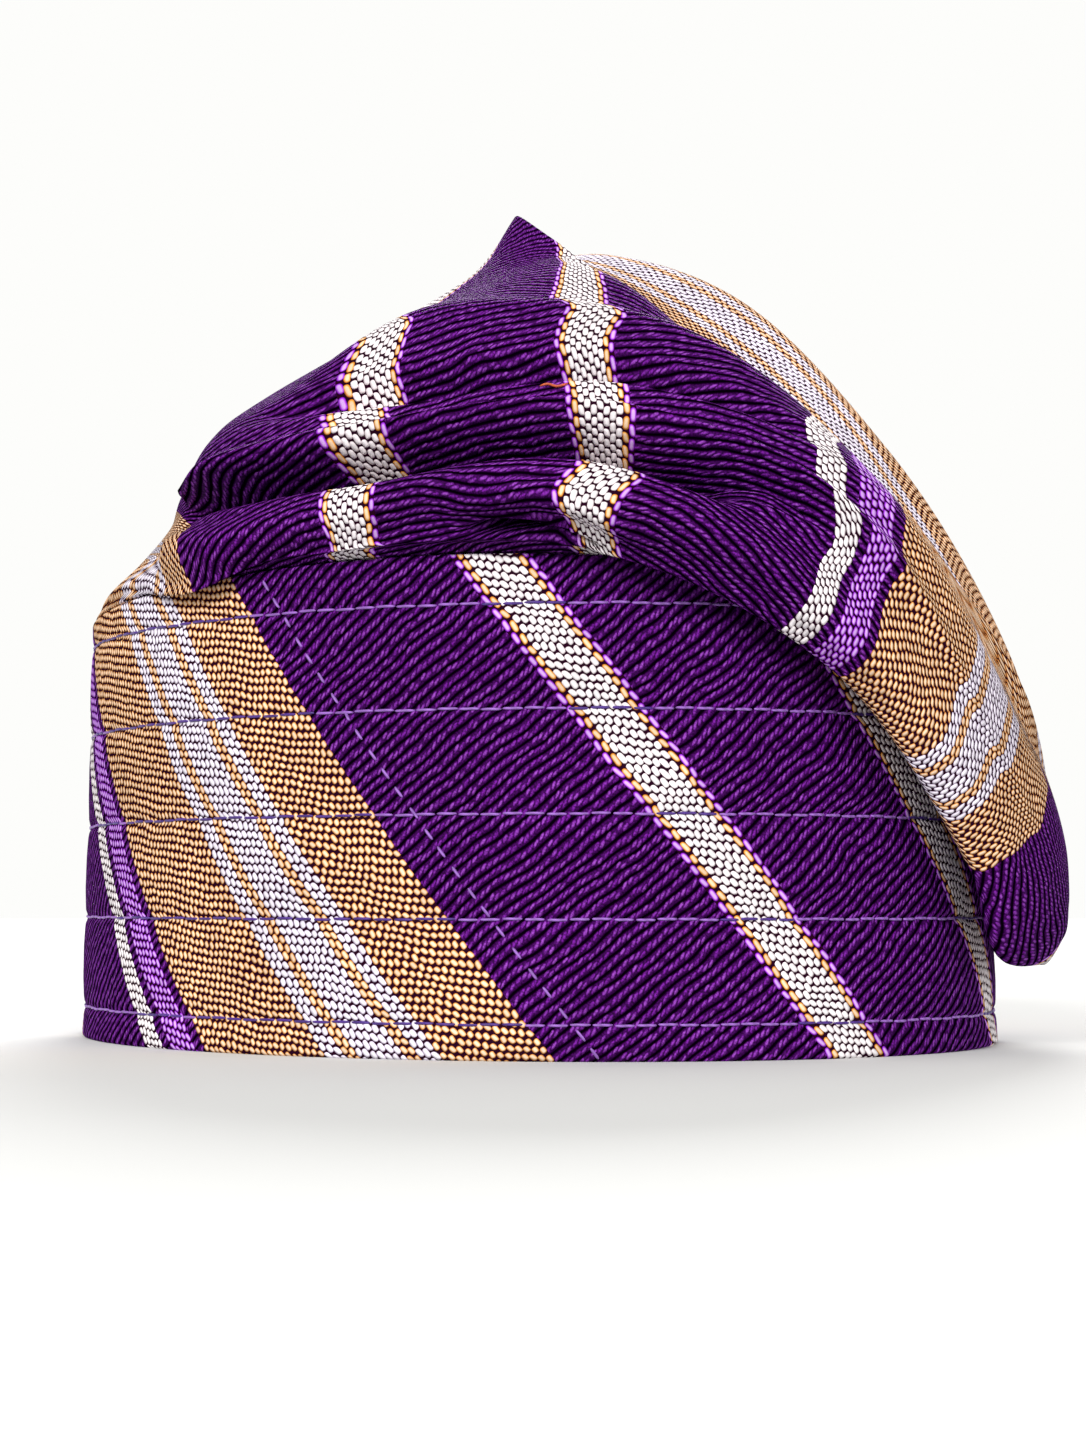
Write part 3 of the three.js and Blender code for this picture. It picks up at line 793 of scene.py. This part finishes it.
    # relief, and gaps too deep to shine
    add("height", "Mix", {0: "is_kind.0", 2: "rib_height", 3: "float_height"}, data_type="FLOAT")
    add("relief", "Bump", {"Strength": 1.0, "Distance": sizes.relief, "Height": "height"})
    add("shine", "MapRange", ["height", 0.4, 1.3, 0.0, 0.06])
    add("cloth", "BsdfPrincipled", {
        "Base Color": "dyed", "Roughness": 0.8, "IOR": 1.5, "Specular IOR Level": "shine", "Normal": "relief"})
    add("output", "OutputMaterial", ["cloth"])
    return material


def sewing_thread(name, colour):
    """Polyester sewing thread: smooth, tightly twisted, with a faint sheen."""
    material, add = new_material(name)
    add("place", "TexCoord")
    # 0.5 mm a turn of the twist
    add("twist", "TexWave", {"Vector": "place.Object", "Scale": 300.0, "Distortion": 0.5},
        bands_direction="DIAGONAL")
    # painted shade in the twist's grooves and painted light on its ridges, in step with its bump
    add("tone", "MapRange", ["twist.1", 0.0, 1.0, 0.75, 1.15])
    add("colour", "VectorMath SCALE", {0: linear(colour)[:3], 3: "tone"})
    add("relief", "Bump", {"Strength": 0.6, "Distance": 0.0001, "Height": "twist.1"})
    add("thread", "BsdfPrincipled", {
        "Base Color": "colour", "Roughness": 0.45, "Sheen Weight": 0.1, "Normal": "relief"})
    add("output", "OutputMaterial", ["thread"])
    return material


def threads_mesh(name, paths, slots, radius, sides=6):
    """Short threads as tapered tubes. paths is an array of stitches by points by 3, in own mm,
    and slots holds each stitch's material."""
    paths = np.asarray(paths, float)
    count, points = paths.shape[:2]
    way = unit(np.gradient(paths, axis=1))
    up = unit(np.cross(way, [0.0, 0.0, 1.0]), 1e-6)
    side = np.cross(way, up)
    turn = np.arange(sides) / sides * math.tau
    taper = np.interp(np.linspace(-1, 1, points), (-1, -0.6, 0.6, 1), (0.55, 1, 1, 0.55)) * radius
    ring = np.cos(turn)[:, None] * up[:, :, None] + np.sin(turn)[:, None] * side[:, :, None]
    co = (paths[:, :, None] + ring * taper[None, :, None, None]).reshape(-1, 3)
    base = np.arange(count)[:, None, None] * points * sides
    k = np.arange(points - 1)[:, None] * sides
    j = np.arange(sides)
    here, beside = base + k + j, base + k + (j + 1) % sides
    quads = np.stack([here, beside, beside + sides, here + sides], -1)
    caps = [list(b + j[::-1]) for b in base[:, 0, 0]] + [list(b + (points - 1) * sides + j) for b in base[:, 0, 0]]
    mesh = bpy.data.meshes.new(name)
    mesh.from_pydata(in_row(co), [], quads.reshape(-1, 4).tolist() + caps)
    face_slots = np.concatenate([np.repeat(slots, (points - 1) * sides), slots, slots])
    mesh.polygons.foreach_set("material_index", face_slots.astype(np.int32))
    mesh.shade_smooth()
    return add_object(name, mesh)


def quilted(z, stitches):
    """How far the band's face stands out at a height, puffed between the stitch rows and sunk at them."""
    nearest = np.min([np.abs(z - row) for row in STITCH_ROWS], axis=0)
    puff = stitches.puff * np.minimum(nearest / PUFF_REACH, 1) ** PUFF_POWER
    groove = stitches.sink * np.exp(-(nearest / SINK_REACH) ** 2)
    return puff - groove


def band_waves(angle, z):
    """Slow unevenness of a worn band, mm."""
    return (0.35 * np.sin(3 * angle + 0.02 * z + 0.4) + 0.22 * np.sin(7 * angle - 0.05 * z)
            + 0.16 * np.sin(13 * angle + 0.09 * z + 1.3))


def band_face(angle, z, stitches, inset=0.0):
    """A point of the band's outer face, or inset from it."""
    out = (quilted(z, stitches) + band_waves(angle, z)) * eased(0, 4, z) - 0.35
    return oval(band_radius(angle, z) + out - inset, angle, z)


class FILA_OT_crown_cloth(bpy.types.Operator):
    """Makes the soft, folded crown"""

    bl_idname = "fila.crown_cloth"
    bl_label = "Crown cloth"

    def execute(self, context):
        turn = JOIN_TO_JOIN
        numbers = ring_numbers(RINGS)
        hollow_numbers = ring_numbers([n // 2 for n in RINGS])
        t, a = np.meshgrid(numbers, turn, indexing="ij")
        outer = crown_skin(t, a)
        across = crown_across(numbers, turn)
        weave = np.stack([across, crown_along(outer, across)], -1)
        inner = hollow_rings(hollow_numbers, turn[:-1])
        inner_weave = np.stack([through(hollow_numbers, numbers, weave[..., k]) for k in (0, 1)], -1)
        rings = np.concatenate([inner[::-1], outer[:, :-1]])
        piece = woven_solid("crown_cloth", rings, np.concatenate([inner_weave[::-1], weave]), False,
                            seam_rings=(0, len(rings) - 1))
        scene = context.scene
        piece.data.materials.append(aso_oke("aso_oke_cotton_loose", scene.fila_cloth, scene.fila_colours))
        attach(piece, "root")
        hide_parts(CROWN_NODE)
        return {"FINISHED"}


class FILA_OT_band_cloth(bpy.types.Operator):
    """Makes the stiffened band, puffed between its rows of stitches"""

    bl_idname = "fila.band_cloth"
    bl_label = "Band cloth"

    def execute(self, context):
        stitches = context.scene.fila_stitches
        turn = JOIN_TO_JOIN
        top, edge = band_top(turn), BAND_EDGE
        arc = [(edge * (1 - np.sin(f)), edge * (1 - np.cos(f))) for f in np.linspace(0, np.pi / 2, 4)[1:]]
        # up the outer face, over the top edge, down the inner face and round the rim: height, inset, which face
        profile = [(edge + (top - 2 * edge) * z, 0, True) for z in np.linspace(0, 1, BAND_RINGS)]
        profile += [(top - drop, inset, True) for drop, inset in arc]
        profile += [(top - drop, inset, False) for drop, inset in arc[::-1][1:]]
        profile += [(edge + (top - 2 * edge) * z, 0, False) for z in np.linspace(1, 0, BAND_INNER_RINGS)]
        profile += [(drop + 0 * turn, inset, False) for drop, inset in arc]
        profile += [(drop + 0 * turn, inset, True) for drop, inset in arc[::-1]]
        rings = [band_face(turn, height, stitches, inset) if outer else
                 oval(band_radius(turn, height) - BAND_WALL + inset, turn, height) for height, inset, outer in profile]
        weave = np.stack([band_weave(turn, height) for height, _, _ in profile])
        piece = woven_solid("band_cloth", np.stack(rings)[:, :-1], weave, True)
        scene = context.scene
        piece.data.materials.append(aso_oke("aso_oke_cotton_quilted", scene.fila_cloth, scene.fila_colours))
        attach(piece, "root")
        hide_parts(BAND_NODE)
        return {"FINISHED"}


class FILA_OT_quilting(bpy.types.Operator):
    """Makes the five rows of stitches round the band"""

    bl_idname = "fila.quilting"
    bl_label = "Quilting stitches"

    def execute(self, context):
        stitches, colours = context.scene.fila_stitches, context.scene.fila_colours
        around = way_round(np.radians(JOIN_ANGLE + 360)) - way_round(np.radians(JOIN_ANGLE))
        count = int(around / stitches.pitch)
        place = np.linspace(-STITCH_END, STITCH_END, 9)
        lift = np.interp(np.abs(place), (0, STITCH_BEND, STITCH_END), STITCH_LIFTS)
        period = THREADS * context.scene.fila_cloth.warp_pitch
        paths, slots = [], []
        for row in STITCH_ROWS:
            for k in range(count):
                angle = np.radians(JOIN_ANGLE + (k + 0.5 + place) * 360 / count)
                z = np.minimum(row, band_top(angle) - TOP_MARGIN) + STITCH_WANDER * np.sin(k * 1.7 + row)
                paths.append(band_face(angle, z, stitches, -lift))
                slots.append(int(stripe_at(band_weave(angle[4], row)[0], period) == "purple"))
        # the strips are sewn to each other beside the tan's right edge
        turn = np.radians(np.linspace(JOIN_ANGLE, JOIN_ANGLE + 360, 1441))
        ways = way_round(turn)
        for strip in (-1, 0, 1):
            z = TOP_MARGIN
            while z < BAND_HEIGHT:
                height = z + place * SEAM_STITCH_SHARE * stitches.seam_pitch
                way = (SEAM_ACROSS + strip * period - ACROSS_START - ACROSS_UP * height) / ACROSS_ROUND
                angle = np.interp(way, ways, turn)
                if ways[0] < way.min() and way.max() < ways[-1] and height.max() < band_top(angle).min() - 1:
                    paths.append(band_face(angle, height, stitches, -lift * SEAM_LIFT_SHARE))
                    slots.append(1)
                z += stitches.seam_pitch * (1 + 0.1 * math.sin(z * 3.1))
        piece = threads_mesh("quilting_stitches", paths, slots, stitches.thickness / 2)
        piece.data.materials.append(sewing_thread("polyester_sewing_thread", colours.thread))
        piece.data.materials.append(sewing_thread("polyester_sewing_thread_light", colours.light_thread))
        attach(piece, "root")
        return {"FINISHED"}


class FILA_OT_slub(bpy.types.Operator):
    """Makes the stray orange slub caught in the crown's weave"""

    bl_idname = "fila.slub"
    bl_label = "Slub"

    def execute(self, context):
        angle = np.radians(np.linspace(*SLUB_ANGLES, 9))
        number = SLUB_SECTION + 0.03 * np.sin(np.linspace(0, 7, 9))
        path = crown_skin(number, angle) + outwards(number, angle) * SLUB_LIFT
        piece = threads_mesh("slub", [path], [0], SLUB_THICKNESS / 2)
        piece.data.materials.append(sewing_thread("orange_cotton_slub", context.scene.fila_colours.slub))
        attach(piece, "root")
        return {"FINISHED"}


class FILA_OT_stage(bpy.types.Operator):
    """Makes the floor, the light and the camera"""

    bl_idname = "fila.stage"
    bl_label = "Stage"

    def execute(self, context):
        scene = context.scene
        settings = scene.fila_stage
        turn = np.arange(STAGE_SIDES) / STAGE_SIDES * math.tau
        mesh = bpy.data.meshes.new("floor")
        disc = [(STAGE_RADIUS * math.cos(a), STAGE_RADIUS * math.sin(a), 0) for a in turn]
        mesh.from_pydata(disc, [], [list(range(STAGE_SIDES))])
        floor = add_object("floor", mesh)
        material, add = new_material("white_paper")
        add("paper", "BsdfDiffuse", {"Color": linear(settings.floor)})
        add("output", "OutputMaterial", ["paper"])
        mesh.materials.append(material)
        # the light comes from above: the paper gives little back to the undersides of the folds
        floor.visible_diffuse = False
        mesh = bpy.data.meshes.new("backdrop")
        dome = STAGE_RADIUS * 0.99
        rings = [(dome * math.cos(e), dome * math.sin(e)) for e in np.radians(np.linspace(-1, 90, DOME_RINGS))]
        co = [(r * math.cos(a), r * math.sin(a), z) for r, z in rings for a in turn]
        quads = [(k + j, k + (j + 1) % STAGE_SIDES, k + STAGE_SIDES + (j + 1) % STAGE_SIDES, k + STAGE_SIDES + j)
                 for k in range(0, (DOME_RINGS - 1) * STAGE_SIDES, STAGE_SIDES) for j in range(STAGE_SIDES)]
        mesh.from_pydata(co, [], quads)
        backdrop = add_object("backdrop", mesh)
        material, add = new_material("lit_backdrop")
        add("glow", "Emission", {"Color": linear(settings.backdrop), "Strength": 1.0})
        add("output", "OutputMaterial", ["glow"])
        mesh.materials.append(material)
        for ray in ("diffuse", "glossy", "transmission", "shadow", "volume_scatter"):
            setattr(backdrop, "visible_" + ray, False)
        world = bpy.data.worlds.new("soft_room")
        world.use_nodes = True
        background = world.node_tree.nodes["Background"].inputs
        background["Color"].default_value = (1.0, 0.995, 0.985, 1.0)
        background["Strength"].default_value = settings.sky
        scene.world = world
        for name, (strength, width, azimuth, elevation) in SUNS.items():
            light = bpy.data.lights.new(name, "SUN")
            light.energy = strength
            light.angle = math.radians(width)
            lamp = add_object(name, light)
            lamp.rotation_euler = (math.radians(90 - elevation), 0, math.radians(azimuth))
        lens = bpy.data.cameras.new("camera")
        lens.sensor_fit = "VERTICAL"
        lens.sensor_height = SENSOR
        lens.lens = FOCAL_PIXELS / PHOTO_HIGH * SENSOR
        lens.shift_x = (PHOTO_WIDE / 2 - AXIS_PIXEL) / PHOTO_HIGH
        lens.shift_y = (HORIZON_PIXEL - PHOTO_HIGH / 2) / PHOTO_HIGH
        lens.clip_start = 0.01
        camera = add_object("camera", lens)
        camera.location = in_row([0, -CAMERA_DISTANCE, CAMERA_HEIGHT])
        camera.rotation_euler = (math.radians(90), 0, 0)
        scene.camera = camera
        scene.view_settings.view_transform = "Standard"
        scene.view_settings.look = "None"
        return {"FINISHED"}


class FILA_PT_panel(bpy.types.Panel):
    """Lists the cap's pieces"""

    bl_idname = "FILA_PT_panel"
    bl_label = "Fila cap"
    bl_space_type = "VIEW_3D"
    bl_region_type = "UI"
    bl_category = "Fila cap"

    def draw(self, context):
        for group in SETTINGS:
            for name in getattr(context.scene, group).__annotations__:
                self.layout.prop(getattr(context.scene, group), name)
        for operator in OPERATORS:
            self.layout.operator(operator.bl_idname)


SETTINGS = {"fila_cloth": ClothSizes, "fila_colours": ClothColours, "fila_stitches": StitchSizes,
            "fila_stage": StageSettings}
OPERATORS = (FILA_OT_stage, FILA_OT_band_cloth, FILA_OT_crown_cloth, FILA_OT_quilting, FILA_OT_slub)


def register():
    for kind in (*SETTINGS.values(), *OPERATORS, FILA_PT_panel):
        bpy.utils.register_class(kind)
    for name, kind in SETTINGS.items():
        setattr(bpy.types.Scene, name, bpy.props.PointerProperty(type=kind))


def unregister():
    for name in SETTINGS:
        delattr(bpy.types.Scene, name)
    for kind in reversed((*SETTINGS.values(), *OPERATORS, FILA_PT_panel)):
        bpy.utils.unregister_class(kind)


def main():
    register()
    for operator in OPERATORS:
        folder, name = operator.bl_idname.split(".")
        getattr(getattr(bpy.ops, folder), name)()


if __name__ == "__main__":
    main()
